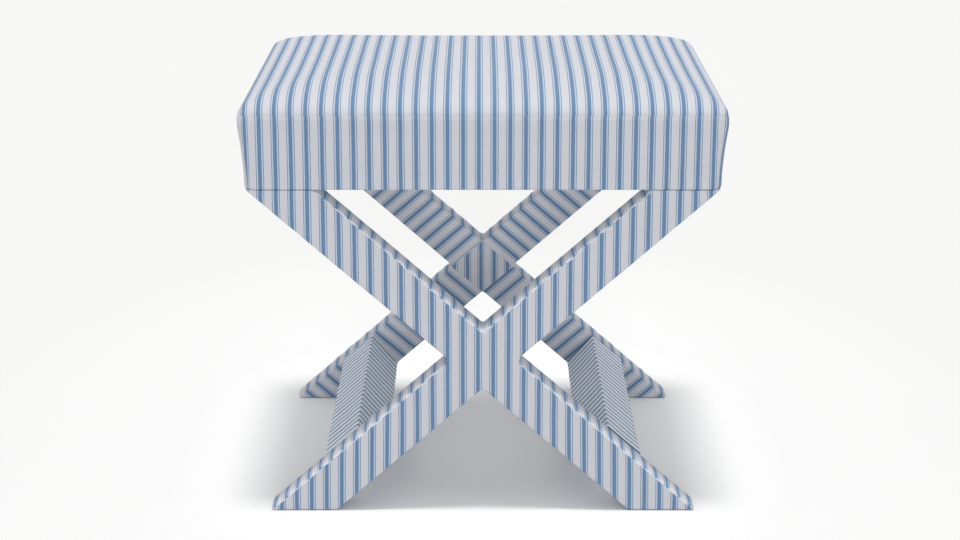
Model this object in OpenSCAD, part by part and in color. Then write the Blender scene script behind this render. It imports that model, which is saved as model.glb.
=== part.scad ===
// X-frame bench: a crowned, striped cushion on two padded X frames that are tied by two low stretchers.
// Origin on the floor under the middle of the bench, X to the right, the front at -Y, Z up, millimetres.

/* [Overall] */
// Width of the seat's underside
seat_w = 496; // [440:4:640]
// Depth of the seat's underside, and over the two X frames
seat_d = 420; // [360:4:520]
// Height of the seat's underside above the floor
seat_z = 355; // [300:5:430]

/* [Cushion] */
// Height of the cushion's sides, from the underside to the top seam
side_h = 72; // [64:1:96]
// Rise of the crown above the top seam
crown_h = 36; // [20:1:60]
// Swell of each end of the cushion at the top seam
swell_w = 6.5; // [2:0.5:12]
// Swell of the front and the back at the top seam
swell_d = 1; // [0:0.5:8]
// Radius of the cushion's upright corners
corner_r = 12; // [6:1:30]
// Thickness of the striped fabric
cover_t = 1.2; // [0.8:0.1:2]
// Thickness of the wadding over the foam
wadding_t = 3; // [2:0.5:6]
// Thickness of the plywood deck
deck_t = 12; // [6:1:15]
// How far the deck's top lies under the top seam
deck_drop = 9; // [4:1:14]

/* [X frames] */
// Distance over the toes of the feet
toe_spread = 456; // [400:4:560]
// Length of the cut where a leg meets the floor and the seat
leg_cut = 73; // [60:1:90]
// Thickness of a finished X frame, front to back
frame_t = 39; // [32:1:50]
// Thickness of the thin padding between a leg and its fabric
padding_t = 1.8; // [1:0.2:3]
// Radius of the blunt corners of a foot and of a leg's top
blunt_r = 8; // [4:1:12]
// Fillet in the side notches of the X
notch_r = 6; // [3:1:10]
// Distance up a leg's upper edge from the toe to the stretcher's top corner
stretcher_reach = 122; // [100:1:150]

/* [Seat frame] */
// Thickness of the four rails
rail_t = 18; // [16:1:24]
// Depth of a corner block, front to back
block_d = 42; // [34:1:60]
// Height of a corner block
block_h = 30; // [22:1:36]
// Wood left in a corner block beyond the inner leg bolt
block_margin = 22; // [14:1:30]
// Thickness of the dust cover's cloth
dust_t = 0.6; // [0.4:0.1:1]

/* [Fasteners and glides] */
// Radius of a leg bolt
bolt_r = 3; // [2.5:0.5:4]
// Thickness of a leg bolt's washer
washer_t = 1.6; // [1:0.2:2.4]
// Radius of a leg bolt's washer
washer_r = 6.2; // [5.6:0.2:8]
// Height of a leg bolt's nut
nut_h = 5; // [4:0.5:7]
// Radius of the nut over its corners
nut_r = 5.8; // [5.2:0.2:7.6]
// Radius of a stretcher dowel
dowel_r = 4; // [3:0.5:5]
// Depth of a dowel in the leg
dowel_in_leg = 22; // [14:1:26]
// Depth of a dowel in the stretcher
dowel_in_bar = 26; // [18:1:40]
// Distance between the two dowels of a joint
dowel_pitch = 22; // [16:1:26]
// Radius of a wood screw's shank
screw_r = 2; // [1.5:0.25:2.5]
// Radius of a wood screw's head
screw_head_r = 4; // [3:0.25:5]
// Depth of a wood screw's countersink
screw_head_h = 2.5; // [1.5:0.25:3]
// Spacing of the staples
staple_pitch = 42; // [30:2:60]
// Height of a floor glide
glide_h = 1.5; // [1:0.25:3]
// Radius of a floor glide
glide_r = 9; // [6:0.5:12]

/* [Hidden] */
// Overrun of every cut
over = 1;
// Radius of the pointed corners of feet and leg tops
tip_r = 1;
// Fillet in the upper and the lower V of the X
vee_r = 3;
// How quickly the cushion's side swells on its way up
side_power = 1.2;
// Powers of the crown: how flat its middle is, and how upright its rim is
crown_flat_power = 3.9;
crown_rim_power = 0.39;
// Growth of the crown's corner radius towards the middle
crown_round_share = 0.5;
// Rings of the side, rings of the crown, and points in each rounded corner
side_steps = 4;
crown_steps = 9;
corner_steps = 5;
// The crown's last ring, as an angle in degrees from its rim at 0 to its middle at 90
crown_last_angle = 84;
// Fabric turned under the seat, past the depth of a leg's top
turn_past = 1;
// Gap between the dust cover and the cushion's edge, and between it and a leg's top
dust_edge = 7;
dust_gap = 2;
// Gap between a leg bolt's washer and the rail beside it
washer_gap = 0.5;
// Thread of a leg bolt above its nut
bolt_tail = 3;
// Places of the two leg bolts across a leg's top, and their bite in the wood below
bolt_shares = [0.15, 0.47];
bite_share = 0.75;
// Length of the rail screws, of the lap screws and of the deck screws
rail_screw_l = 50;
lap_screw_l = 26;
deck_screw_l = 32;
// Wood that a corner block's screw goes through in the rail
block_screw_bite = 13;
// Spacing of the lap screws, and height of the rail screws, up a rail
lap_screw_pitch = 20;
rail_screw_shares = [0.28, 0.74];
// Places of the block screws along a corner block
block_screw_shares = [0.17, 0.56];
// Places of the deck screws along a front or rear rail and along an end rail, from its middle
cross_screw_shares = [-0.42, -0.15, 0.15, 0.42];
end_screw_shares = [-0.3, 0, 0.3];
// A glide's nail
nail_r = 1.2;
nail_l = 16;
// A staple's crown, wire and points, and the lines that staples follow across a rail's thickness
staple_w = 10;
staple_wire = 0.8;
staple_leg = 7;
cover_staple_share = 0.35;
dust_staple_share = 0.78;

// The outermost points of a foot and of the seat, and the two levels between which a leg runs
toe = toe_spread / 2;
half_w = seat_w / 2;
half_d = seat_d / 2;
rise = seat_z - glide_h;
lean = (half_w + toe - leg_cut) / rise;
slope = atan2(1, lean);
leg_w = leg_cut * sin(slope);
// Fabric and padding together, from the outside of an X frame to its wood
skin_t = cover_t + padding_t;
// Inner and outer faces of the front X frame
front_y = -half_d;
inner_y = frame_t - half_d;
cross_z = glide_h + (2 * toe - leg_cut) / (2 * lean);

// Cushion levels and the seat frame inside it
seam_z = seat_z + side_h;
frame_z = seat_z + cover_t;
deck_z = seam_z - deck_drop;
rail_h = deck_z - deck_t - frame_z;
rail_x = half_w - cover_t - wadding_t;
rail_y = half_d - cover_t - wadding_t;
turn_w = frame_t + turn_past;

// Leg bolts, from the middle of the bench
leg_top_x = half_w - leg_cut;
bolt_x = [for (s = bolt_shares) leg_top_x + s * leg_cut];
bolt_y = rail_y - rail_t - washer_r - washer_gap;
bolt_reach = (leg_cut * (1 - bolt_shares[1]) - skin_t / sin(slope) - bolt_r) / lean;
bolt_z = seat_z - skin_t - bite_share * bolt_reach;
block_top = frame_z + block_h;
bolt_l = block_top + washer_t + nut_h + bolt_tail - bolt_z;
block_x = bolt_x[0] - block_margin;
block_l = rail_x - rail_t - block_x;

// Stretcher: a square bar as wide as a leg, flush with both of its edges
along = [cos(slope), sin(slope)];
down = [sin(slope), -cos(slope)];
bar_top = [-toe, glide_h] + stretcher_reach * along;
bar_mid = bar_top + leg_w / 2 * (down - along);
bar_l = -2 * inner_y;

// The rounded corner at b between a and c, as points on an arc of radius r
function corner_arc(a, b, c, r, steps) =
    let (u = (a - b) / norm(a - b))
    let (w = (c - b) / norm(c - b))
    let (half = acos(u * w) / 2)
    let (middle = b + (u + w) / norm(u + w) * r / sin(half))
    let (first = b + u * r / tan(half) - middle)
    let (start = atan2(first[1], first[0]))
    let (sweep = sign(cross(w, u)) * (180 - 2 * half))
    [for (i = [0:steps]) middle + r * [cos(start + sweep * i / steps), sin(start + sweep * i / steps)]];

// An outline from corners [x, z, radius]; a radius of zero keeps the corner sharp
function rounded(corners) =
    let (n = len(corners))
    let (xz = [for (p = corners) [p[0], p[1]]])
    [for (i = [0:n - 1])
        let (r = corners[i][2])
        each (r > 0 ? corner_arc(xz[(i + n - 1) % n], xz[i], xz[(i + 1) % n], r, corner_steps) : [xz[i]])];

// Left and right edge of the leg that rises to the right, at height z, drawn in by inset
function left_edge(z, inset) = -toe + inset / sin(slope) + (z - glide_h) * lean;
function right_edge(z, inset) = left_edge(z, -inset) + leg_cut;

// One leg, from its foot on the left to its top on the right
function leg_outline(inset) =
    let (low = glide_h + inset)
    let (high = seat_z - inset)
    let (blunt = max(0, blunt_r - inset))
    rounded([
        [left_edge(low, inset), low, 0],
        [right_edge(low, inset), low, blunt],
        [right_edge(high, inset), high, 0],
        [left_edge(high, inset), high, blunt]
    ]);

// Both crossed legs as one outline, drawn in by inset
function cross_outline(inset) =
    let (low = glide_h + inset)
    let (high = seat_z - inset)
    let (tip = max(0, tip_r - inset))
    let (blunt = max(0, blunt_r - inset))
    let (lower_vee = glide_h + (toe - leg_cut + inset / sin(slope)) / lean)
    let (upper_vee = glide_h + (toe - inset / sin(slope)) / lean)
    let (notch = leg_cut / 2 - inset / sin(slope))
    let (half = [
        [right_edge(high, inset), high, tip],
        [left_edge(high, inset), high, blunt],
        [0, upper_vee, vee_r + inset],
        [-left_edge(high, inset), high, blunt],
        [-right_edge(high, inset), high, tip],
        [-notch, cross_z, notch_r + inset]
    ])
    rounded(concat(half, [
        [left_edge(low, inset), low, tip],
        [right_edge(low, inset), low, blunt],
        [0, lower_vee, vee_r + inset],
        [-right_edge(low, inset), low, blunt],
        [-left_edge(low, inset), low, tip],
        [notch, cross_z, notch_r + inset]
    ]));

// The left stretcher's square section, drawn in by inset
function bar_outline(inset) =
    let (h = leg_w / 2 - inset)
    rounded([for (s = [[-1, -1], [-1, 1], [1, 1], [1, -1]])
        let (p = bar_mid + h * (s[0] * along + s[1] * down))
        [p[0], p[1], max(0, tip_r - inset)]]);

// Swell of the cushion's side at a share u of its height
function swell(u) = 1 - pow(max(0, 1 - u), side_power);

// Share of the plan that a crown ring has, and share of the crown's height that it reaches
function ring_share(angle) = pow(1 - pow(sin(angle), 1 / crown_rim_power), 1 / crown_flat_power);

// One level of the cushion: a rounded rectangle of half sizes a and b at height z
function ring(a, b, r, z) =
    [for (q = [0:3])
        let (sx = q == 0 || q == 3 ? 1 : -1)
        let (sy = q < 2 ? 1 : -1)
        for (i = [0:corner_steps])
            let (t = 90 * (q + i / corner_steps))
            [sx * (a - r) + r * cos(t), sy * (b - r) + r * sin(t), z]];

// The cushion's levels, drawn in by inset, with the lowest at height low
function cushion_rings(inset, low) =
    let (r = max(corner_r - inset, inset))
    let (a = half_w + swell_w - inset)
    let (b = half_d + swell_d - inset)
    concat(
        [for (j = [0:side_steps])
            let (z = low + (seam_z - low) * j / side_steps)
            let (s = 1 - swell((z - seat_z) / side_h))
            ring(a - swell_w * s, b - swell_d * s, r, z)],
        [for (j = [1:crown_steps])
            let (angle = crown_last_angle * j / crown_steps)
            let (k = ring_share(angle))
            ring(a * k, b * k, r * k + crown_round_share * (1 - k) * b * k,
                seam_z + (crown_h - inset) * sin(angle))]);

// A closed solid through a stack of rings that have the same number of points
module loft(rings) {
    n = len(rings[0]);
    m = len(rings);
    polyhedron(
        points = [for (level = rings) each level],
        faces = concat(
            [[for (i = [0:n - 1]) i]],
            [for (j = [0:m - 2], i = [0:n - 1]) each [
                [j * n + i, (j + 1) * n + i, (j + 1) * n + (i + 1) % n],
                [j * n + i, (j + 1) * n + (i + 1) % n, j * n + (i + 1) % n]]],
            [[for (i = [n - 1:-1:0]) (m - 1) * n + i]]));
}

// An upright slab with the given outline, from y0 towards the back over depth t
module slab(outline, y0, t) {
    translate([0, y0 + t, 0])
        rotate([90, 0, 0])
            linear_extrude(height = t)
                polygon(outline);
}

// A box centred on X and Y, from height z0 over height h
module centred_box(x, y, z0, h) {
    translate([-x, -y, z0])
        cube([2 * x, 2 * y, h]);
}

// A copy on each side of the middle, left and right, or front and back, or in all four quarters
module left_right() {
    children();
    mirror([1, 0, 0]) children();
}
module front_back() {
    children();
    mirror([0, 1, 0]) children();
}
module four_corners() {
    left_right() front_back() children();
}

// A wood screw with its head's flat face at the origin, driven towards +Z
module wood_screw(length) {
    cylinder(h = length, r = screw_r, $fn = 24);
    cylinder(h = screw_head_h, r1 = screw_head_r, r2 = screw_r, $fn = 24);
}

// A staple under the origin's level, with its points upwards and its crown along X
module staple() {
    translate([-staple_w / 2, -staple_wire / 2, 0])
        cube([staple_w, staple_wire, staple_wire]);
    for (x = [-staple_w / 2, staple_w / 2 - staple_wire])
        translate([x, -staple_wire / 2, 0])
            cube([staple_wire, staple_wire, staple_leg]);
}

// Staples along X at y, and along Y at x, in rows that end short of the leg tops
module staple_rows(share, z) {
    row_x = leg_top_x - staple_w;
    row_y = half_d - frame_t - staple_w;
    count_x = floor(2 * row_x / staple_pitch);
    count_y = floor(2 * row_y / staple_pitch);
    front_back()
        for (i = [0:count_x])
            translate([-row_x + 2 * row_x * i / count_x, -rail_y + share * rail_t, z])
                staple();
    left_right()
        for (i = [0:count_y])
            translate([rail_x - share * rail_t, -row_y + 2 * row_y * i / count_y, z])
                rotate([0, 0, 90])
                    staple();
}

module cover_staple_set() {
    staple_rows(cover_staple_share, seat_z);
}

module dust_staple_set() {
    staple_rows(dust_staple_share, seat_z - dust_t - staple_wire);
}

// The screws of the rails, blocks and deck
module rail_screw_set() {
    four_corners()
        for (s = rail_screw_shares)
            translate([rail_x - rail_t / 2, -rail_y, frame_z + s * rail_h])
                rotate([-90, 0, 0])
                    wood_screw(rail_screw_l);
}

module block_screw_set() {
    four_corners()
        for (s = block_screw_shares)
            translate([block_x + s * block_l, -rail_y + rail_t + block_d, frame_z + block_h / 2])
                rotate([90, 0, 0])
                    wood_screw(block_d + block_screw_bite);
}

module deck_screw_set() {
    front_back()
        for (s = cross_screw_shares)
            translate([2 * s * rail_x, -rail_y + rail_t / 2, deck_z])
                rotate([180, 0, 0])
                    wood_screw(deck_screw_l);
    left_right()
        for (s = end_screw_shares)
            translate([rail_x - rail_t / 2, 2 * s * rail_y, deck_z])
                rotate([180, 0, 0])
                    wood_screw(deck_screw_l);
}

// The leg bolts, and the room that they take in the wood and the fabric
module leg_bolt_set(r = bolt_r) {
    four_corners()
        for (x = bolt_x)
            translate([x, bolt_y, bolt_z])
                cylinder(h = bolt_l, r = r, $fn = 32);
}

// The dowels of the front stretcher joints on the left, then of all four
module dowel_pair() {
    for (s = [-1, 1]) {
        p = bar_mid + s * dowel_pitch / 2 * along;
        translate([p[0], inner_y - skin_t - dowel_in_leg, p[1]])
            rotate([-90, 0, 0])
                cylinder(h = dowel_in_leg + skin_t + dowel_in_bar, r = dowel_r, $fn = 32);
    }
}

module dowel_set() {
    four_corners() dowel_pair();
}

// The screws that hold a half lap, driven from the inner face
module lap_screw_set() {
    front_back()
        for (s = [-1, 1])
            translate([s * lap_screw_pitch / 2, inner_y - skin_t, cross_z])
                rotate([90, 0, 0])
                    wood_screw(lap_screw_l);
}

// The glides' nails, and the glides
module glide_nails() {
    four_corners()
        translate([toe - leg_cut / 2, inner_y - frame_t / 2, glide_h])
            cylinder(h = nail_l, r = nail_r, $fn = 24);
}

module glide_set() {
    glide_nails();
    four_corners()
        translate([toe - leg_cut / 2, inner_y - frame_t / 2, 0])
            cylinder(h = glide_h, r = glide_r, $fn = 48);
}

// A front leg with its foot on the left; its half of the lap is the inner one if inner is true
module leg_board(inner) {
    wood_t = frame_t - 2 * skin_t;
    cut_y = inner ? front_y + skin_t - over : front_y + frame_t / 2;
    difference() {
        slab(leg_outline(skin_t), front_y + skin_t, wood_t);
        mirror([1, 0, 0])
            slab([
                [left_edge(glide_h, skin_t), glide_h],
                [right_edge(glide_h, skin_t), glide_h],
                [right_edge(seat_z, skin_t), seat_z],
                [left_edge(seat_z, skin_t), seat_z]
            ], cut_y, wood_t / 2 + over);
        lap_screw_set();
        leg_bolt_set();
        dowel_set();
        glide_nails();
    }
}

module front_left_leg() {
    color("burlywood") leg_board(true);
}
module front_right_leg() {
    color("burlywood") mirror([1, 0, 0]) leg_board(false);
}
module rear_left_leg() {
    color("burlywood") mirror([0, 1, 0]) leg_board(true);
}
module rear_right_leg() {
    color("burlywood") mirror([0, 1, 0]) mirror([1, 0, 0]) leg_board(false);
}

// A skin round the front X frame between two insets
module frame_skin(outer, inner) {
    difference() {
        slab(cross_outline(outer), front_y + outer, frame_t - 2 * outer);
        slab(cross_outline(inner), front_y + inner, frame_t - 2 * inner);
        leg_bolt_set();
        dowel_set();
        glide_nails();
    }
}

module front_frame_padding() {
    color("whitesmoke") frame_skin(cover_t, skin_t);
}
module rear_frame_padding() {
    color("whitesmoke") mirror([0, 1, 0]) frame_skin(cover_t, skin_t);
}
module front_frame_cover() {
    color("lightsteelblue") frame_skin(0, cover_t);
}
module rear_frame_cover() {
    color("lightsteelblue") mirror([0, 1, 0]) frame_skin(0, cover_t);
}

// The left stretcher's bar and its fabric
module stretcher_bar() {
    difference() {
        slab(bar_outline(cover_t), -bar_l / 2, bar_l);
        dowel_set();
    }
}

module stretcher_sleeve() {
    difference() {
        slab(bar_outline(0), -bar_l / 2, bar_l);
        slab(bar_outline(cover_t), -bar_l / 2 - over, bar_l + 2 * over);
    }
}

module left_stretcher() {
    color("burlywood") stretcher_bar();
}
module right_stretcher() {
    color("burlywood") mirror([1, 0, 0]) stretcher_bar();
}
module left_stretcher_cover() {
    color("lightsteelblue") stretcher_sleeve();
}
module right_stretcher_cover() {
    color("lightsteelblue") mirror([1, 0, 0]) stretcher_sleeve();
}

// The front rail, across the whole frame, and the left rail between front and rear
module cross_rail() {
    difference() {
        translate([-rail_x, -rail_y, frame_z])
            cube([2 * rail_x, rail_t, rail_h]);
        seat_frame_fasteners();
    }
}

module end_rail() {
    difference() {
        translate([-rail_x, rail_t - rail_y, frame_z])
            cube([rail_t, 2 * (rail_y - rail_t), rail_h]);
        seat_frame_fasteners();
    }
}

// A block in the front left corner, which the leg bolts pass through
module corner_block() {
    difference() {
        translate([-block_x - block_l, rail_t - rail_y, frame_z])
            cube([block_l, block_d, block_h]);
        block_screw_set();
        leg_bolt_set();
    }
}

module seat_frame_fasteners() {
    rail_screw_set();
    block_screw_set();
    deck_screw_set();
    cover_staple_set();
    dust_staple_set();
}

module front_rail() {
    color("burlywood") cross_rail();
}
module rear_rail() {
    color("burlywood") mirror([0, 1, 0]) cross_rail();
}
module left_rail() {
    color("burlywood") end_rail();
}
module right_rail() {
    color("burlywood") mirror([1, 0, 0]) end_rail();
}
module front_left_block() {
    color("tan") corner_block();
}
module front_right_block() {
    color("tan") mirror([1, 0, 0]) corner_block();
}
module rear_left_block() {
    color("tan") mirror([0, 1, 0]) corner_block();
}
module rear_right_block() {
    color("tan") mirror([0, 1, 0]) mirror([1, 0, 0]) corner_block();
}

module seat_deck() {
    color("wheat")
        difference() {
            centred_box(rail_x, rail_y, deck_z - deck_t, deck_t);
            deck_screw_set();
        }
}

// Foam above the deck, in the cushion's own shape
module seat_foam() {
    inset = cover_t + wadding_t;
    color("lightyellow")
        difference() {
            loft(cushion_rings(inset, frame_z));
            centred_box(seat_w, seat_d, seat_z - over, deck_z - seat_z + over);
        }
}

// Wadding over the foam and down the sides of the seat frame
module seat_wadding() {
    color("white")
        difference() {
            loft(cushion_rings(cover_t, frame_z));
            centred_box(rail_x, rail_y, frame_z - over, deck_z - frame_z + over);
            difference() {
                loft(cushion_rings(cover_t + wadding_t, frame_z));
                centred_box(seat_w, seat_d, seat_z - over, deck_z - seat_z + over);
            }
        }
}

// The sewn cover, turned under the rails all round
module seat_cover() {
    color("lightsteelblue")
        difference() {
            loft(cushion_rings(0, seat_z));
            loft(cushion_rings(cover_t, frame_z));
            centred_box(half_w - turn_w, half_d - turn_w, seat_z - over, cover_t + 2 * over);
            cover_staple_set();
            dust_staple_set();
            leg_bolt_set();
        }
}

// Thin cloth under the seat, notched round the leg tops
module dust_cover() {
    color("dimgray")
        difference() {
            centred_box(half_w - dust_edge, half_d - dust_edge, seat_z - dust_t, dust_t);
            four_corners()
                translate([leg_top_x - dust_gap, half_d - frame_t - dust_gap, seat_z - dust_t - over])
                    cube([leg_cut, frame_t, dust_t + 2 * over]);
            dust_staple_set();
        }
}

module rail_screws() {
    color("silver") rail_screw_set();
}
module block_screws() {
    color("silver") block_screw_set();
}
module deck_screws() {
    color("silver") deck_screw_set();
}
module cover_staples() {
    color("silver") cover_staple_set();
}
module dust_cover_staples() {
    color("silver") dust_staple_set();
}
module lap_screws() {
    color("silver") lap_screw_set();
}
module stretcher_dowels() {
    color("peru") dowel_set();
}
module leg_bolts() {
    color("silver") leg_bolt_set();
}

module leg_bolt_washers() {
    color("silver")
        four_corners()
            for (x = bolt_x)
                translate([x, bolt_y, block_top])
                    difference() {
                        cylinder(h = washer_t, r = washer_r, $fn = 32);
                        translate([0, 0, -over])
                            cylinder(h = washer_t + 2 * over, r = bolt_r, $fn = 32);
                    }
}

module leg_bolt_nuts() {
    color("silver")
        four_corners()
            for (x = bolt_x)
                translate([x, bolt_y, block_top + washer_t])
                    difference() {
                        cylinder(h = nut_h, r = nut_r, $fn = 6);
                        translate([0, 0, -over])
                            cylinder(h = nut_h + 2 * over, r = bolt_r, $fn = 32);
                    }
}

module floor_glides() {
    color("gainsboro") glide_set();
}

seat_cover();
seat_wadding();
seat_foam();
seat_deck();
front_rail();
rear_rail();
left_rail();
right_rail();
front_left_block();
front_right_block();
rear_left_block();
rear_right_block();
rail_screws();
block_screws();
deck_screws();
cover_staples();
dust_cover();
dust_cover_staples();
front_left_leg();
front_right_leg();
rear_left_leg();
rear_right_leg();
lap_screws();
front_frame_padding();
rear_frame_padding();
front_frame_cover();
rear_frame_cover();
left_stretcher();
right_stretcher();
left_stretcher_cover();
right_stretcher_cover();
stretcher_dowels();
leg_bolts();
leg_bolt_washers();
leg_bolt_nuts();
floor_glides();
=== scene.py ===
import math

import bmesh
import bpy
import numpy as np
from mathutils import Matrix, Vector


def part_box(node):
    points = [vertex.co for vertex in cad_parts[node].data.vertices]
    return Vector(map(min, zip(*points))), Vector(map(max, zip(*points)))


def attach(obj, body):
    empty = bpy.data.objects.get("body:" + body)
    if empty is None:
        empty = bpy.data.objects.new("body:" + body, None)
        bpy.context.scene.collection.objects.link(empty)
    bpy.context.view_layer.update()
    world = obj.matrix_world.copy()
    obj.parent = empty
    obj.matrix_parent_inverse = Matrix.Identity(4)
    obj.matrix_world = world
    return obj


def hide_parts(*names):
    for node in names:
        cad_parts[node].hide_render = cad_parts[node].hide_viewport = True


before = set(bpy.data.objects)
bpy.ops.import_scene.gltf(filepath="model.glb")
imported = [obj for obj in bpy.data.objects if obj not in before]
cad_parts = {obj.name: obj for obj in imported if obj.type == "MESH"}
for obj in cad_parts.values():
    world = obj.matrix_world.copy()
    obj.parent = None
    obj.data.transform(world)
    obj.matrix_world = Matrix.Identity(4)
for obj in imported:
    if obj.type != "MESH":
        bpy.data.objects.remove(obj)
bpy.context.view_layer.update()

bl_info = {
    "name": "X-frame bench",
    "version": (1, 0, 0),
    "blender": (4, 5, 0),
    "location": "3D View > Sidebar > Bench",
    "description": "Ticking upholstery, timber and fixings of a crowned bench on two X frames",
    "category": "Add Mesh",
}

# One millimetre in Blender's metres
MM = 0.001

# Sizes that the shapes share, in millimetres, as the solids have them
FOOT_Z = 1.5
SEAT_Z = 355.0
HALF_W, HALF_D = 248.0, 210.0
TOE_X = 228.0
LEG_CUT = 73.0
FRAME_T = 39.0
LEAN = (HALF_W + TOE_X - LEG_CUT) / (SEAT_Z - FOOT_Z)
SLOPE = math.atan2(1.0, LEAN)
LEG_W = LEG_CUT * math.sin(SLOPE)
CROSS_Z = FOOT_Z + (2 * TOE_X - LEG_CUT) / (2 * LEAN)
INNER_Y = HALF_D - FRAME_T

# Radii of an X frame's outline: in its upright and level forks, and at the two corners of an arm's end
VEE_R, NOTCH_R = 3.0, 6.0
BLUNT_R, TIP_R = 8.0, 1.0
# Height of the upright forks above and below the crossing, before they are rounded
VEE_Z = LEG_CUT / (2 * LEAN)

# Points of the cushion's grid, across and from front to back
CUSHION_COUNT = (132, 110)
# How flat the middle of the top is, and how steeply it falls to the rim
CROWN_FLAT, CROWN_FALL = 3.9, 0.36
# Reach by which the rings of the top are spaced down the slope
SLOPE_REACH = 232.0
# Distance from the seam to the ring of points beside it, and depth of its groove
SEAM_SIDE, SEAM_DEPTH = 1.6, 0.5
# How far left of the middle line the middle stripe lies, on the seat and on the faces of the X frames
SEAT_STRIPE, FACE_STRIPE = 4.25, 5.2
# How far the stripes that cross a leg lean along it, for each millimetre across
CROSS_LEAN = 0.1317
# Height of the cover's inside above the seat's lower edge
INSIDE_Z = 63.15
# How gently the stripes run on round the band's corners
CORNER_BEND = 90.0

# The cushion's inner pressure, how free its firm places are, and the frames that it is blown up for
PRESSURE = 4.0
FIRM = 0.15
LAST_FRAME = 8

# Points closer than about this become one, in millimetres
WELD = 0.002
# What each point knows: how close it is to a seam, how far from an arm's edge, and how free it is to swell
MARKS = ("seam", "edge", "loose")
# A distance that counts as far from every edge
FAR = 12.0

# Colour of the weft that shows through the stripes
WEFT = (0.25, 0.32, 0.42)
# Weft and warp threads in each stripe repeat
THREADS = 11.0

# Brightness of the floor by distance from the middle of the bench, in metres. Near the bench it is painted
# light, raised most beside the stretchers to lighten the bench's shadow there
FLOOR_SHADE = ((0.11, 0.96), (0.165, 1.10), (0.215, 1.05), (0.27, 0.96), (0.36, 0.885), (0.7, 0.815))

# The camera that sees the bench from a little above, straight from the front
CAMERA_PLACE = (-0.0030988, -2.457588, 0.882662)
CAMERA_TILT = 74.7309
CAMERA_LENS = 83.362


# Sizes and colours that can be changed

def number(name, text, default, low, high, **more):
    """A value with its limits."""
    return bpy.props.FloatProperty(name=name, description=text, default=default, min=low, max=high, **more)


def span(name, text, default, low, high):
    """A size in millimetres."""
    return number(name, text + ", in millimetres", default, low, high)


def angle(name, text, degrees, high):
    """An angle, given here in degrees."""
    return number(name, text, math.radians(degrees), 0.0, math.radians(high), subtype="ANGLE")


def tint(name, *default):
    """A colour."""
    text = "Colour of the " + name.lower()
    return bpy.props.FloatVectorProperty(
        name=name, description=text, subtype="COLOR", default=default, min=0.0, max=1.0)


class CushionSizes(bpy.types.PropertyGroup):
    """Sizes of the seat cushion"""
    side_height: span("Side height", "Height of the upright sides of the seat", 72.0, 40.0, 96.0)
    crown: span("Crown", "Rise of the top above its sides", 36.0, 5.0, 60.0)
    swell_x: span("Swell to the sides", "How far each end stands out above its lower edge", 7.1, 0.0, 12.0)
    swell_y: span("Swell to front and back", "How far these stand out above their lower edge", 1.0, 0.0, 8.0)
    corner: span("Corner radius", "Radius of the upright corners", 12.0, 4.0, 30.0)
    seam_height: span("Seam height", "Height of the seam between top and band", 433.0, 428.0, 450.0)
    turn_under: span("Turned under", "Width of cloth turned under the seat", 40.0, 10.0, 60.0)
    softness: span("Softness", "Most that the stuffing may move the cover", 1.2, 0.0, 8.0)


class FrameSizes(bpy.types.PropertyGroup):
    """Sizes of the covers of the X frames and stretchers"""
    edge_round: span("Edge rounding", "How far the padded edges round off on the faces", 1.4, 0.5, 4.0)
    edge_depth: span("Edge depth", "How far the padded edges round off across the thickness", 11.0, 0.5, 15.0)
    end_round: span("End rounding", "Rounding of the faces at the level ends of the legs", 0.7, 0.3, 4.0)
    foot_hang: span("Foot hang", "How far the cover comes down round the glides", 1.1, 0.0, 1.4)
    pucker: span("Pucker", "Depth of the waves along the edge seams", 1.2, 0.0, 1.5)
    sleeve_round: span("Sleeve rounding", "Radius of the edges of the stretcher sleeves", 1.6, 0.5, 8.0)


class ClothLook(bpy.types.PropertyGroup):
    """Stripes and colours of the cloth"""
    repeat: span("Stripe repeat", "Distance from one broad stripe to the next", 16.156, 4.0, 60.0)
    blue: tint("Broad stripe", 0.081, 0.187, 0.352)
    pale: tint("Pale stripe", 0.505, 0.577, 0.70)
    line: tint("Fine line", 0.115, 0.172, 0.29)
    ground: tint("Ground", 0.66, 0.648, 0.682)
    slate: tint("Bands on the stretchers", 0.09, 0.135, 0.23)
    sleeve_ground: tint("Ground between the bands", 0.80, 0.86, 0.95)


class StageLook(bpy.types.PropertyGroup):
    """Colours and lights of the stage"""
    floor: tint("Floor", 0.94, 0.94, 0.94)
    bounce: tint("Light that the floor gives back", 0.64, 0.64, 0.64)
    sky: number("Sky strength", "Even light from all round", 0.70, 0.0, 2.0)
    horizon: number("Horizon strength", "Further light from low down all round", 0.11, 0.0, 4.0)
    overhead: number("Overhead strength", "Overhead lamp, in watts per square metre", 1.55, 0.0, 6.0)
    overhead_angle: angle("Overhead breadth", "How broad the overhead lamp looks from the floor", 11, 180)
    fill: number("Fill strength", "Low lamp in front, in watts per square metre", 0.80, 0.0, 6.0)
    fill_height: angle("Fill height", "Angle of the low lamp above the floor", 6, 90)


# Shapes

def smooth(x):
    """Rises from 0 to 1 over x from 0 to 1, level at both ends."""
    x = np.clip(x, 0.0, 1.0)
    return x * x * (3.0 - 2.0 * x)


def ripple(points, size, seed):
    """A smooth irregular height from about -1 to 1, of nine sine waves of about that length."""
    random = np.random.default_rng(seed)
    direction = random.normal(size=(9, 3))
    direction /= np.linalg.norm(direction, axis=1)[:, None]
    waves = direction * (2.0 * math.pi / (size * random.uniform(0.7, 1.6, size=(9, 1))))
    return np.sin(points @ waves.T + random.uniform(0.0, 2.0 * math.pi, size=9)).sum(-1) / 4.0


def patch(at, cloth, seam=0.0, edge=FAR, loose=0.0):
    """A grid of points in millimetres, with their places on the cloth in stripe repeats, and their marks."""
    marks = zip(MARKS, (seam, edge, loose))
    return {"at": at, "cloth": cloth, **{mark: np.broadcast_to(value, at.shape[:2]) for mark, value in marks}}


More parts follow.
